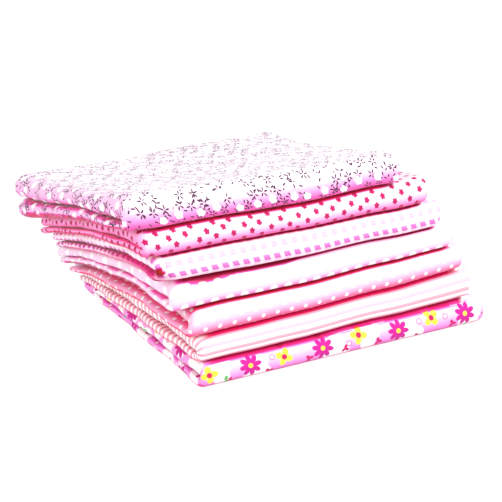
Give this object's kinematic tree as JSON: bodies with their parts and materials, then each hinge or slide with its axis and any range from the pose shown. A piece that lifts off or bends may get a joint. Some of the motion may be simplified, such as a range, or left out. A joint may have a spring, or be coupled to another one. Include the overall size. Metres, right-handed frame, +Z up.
{
  "type": "fat quarter bundle",
  "caption": "Stack of folded cotton patchwork cloth, each piece in its own small pink or white print, fanned to one side with the folds to the front.",
  "frame": {"origin": "centre of the bundle's footprint box, on the surface that it rests on", "axes": "+X along the front folds to the right, +Y to the back, +Z up through the stack"},
  "size_m": [0.1729, 0.1278, 0.0879],
  "materials": {
    "daisy_print": "plain-weave cotton, pale lilac pink with magenta and yellow flowers",
    "stripe_print": "plain-weave cotton, white with soft pink stripes",
    "pin_dot_print": "plain-weave cotton, salmon pink with small white dots",
    "wide_dot_print": "plain-weave cotton, pale pink with white dots",
    "gingham_print": "plain-weave cotton, white and orchid pink checks",
    "blossom_print": "plain-weave cotton, white with small crimson flowers",
    "sprig_print": "plain-weave cotton, pale pink with plum-grey sprigs and white blossoms"
  },
  "bodies": {
    "root": {"fat_quarter_daisy": "daisy_print", "fat_quarter_stripe": "stripe_print", "fat_quarter_pin_dot": "pin_dot_print", "fat_quarter_wide_dot": "wide_dot_print", "fat_quarter_gingham": "gingham_print", "fat_quarter_blossom": "blossom_print", "fat_quarter_sprig": "sprig_print"}
  },
  "joints": []
}
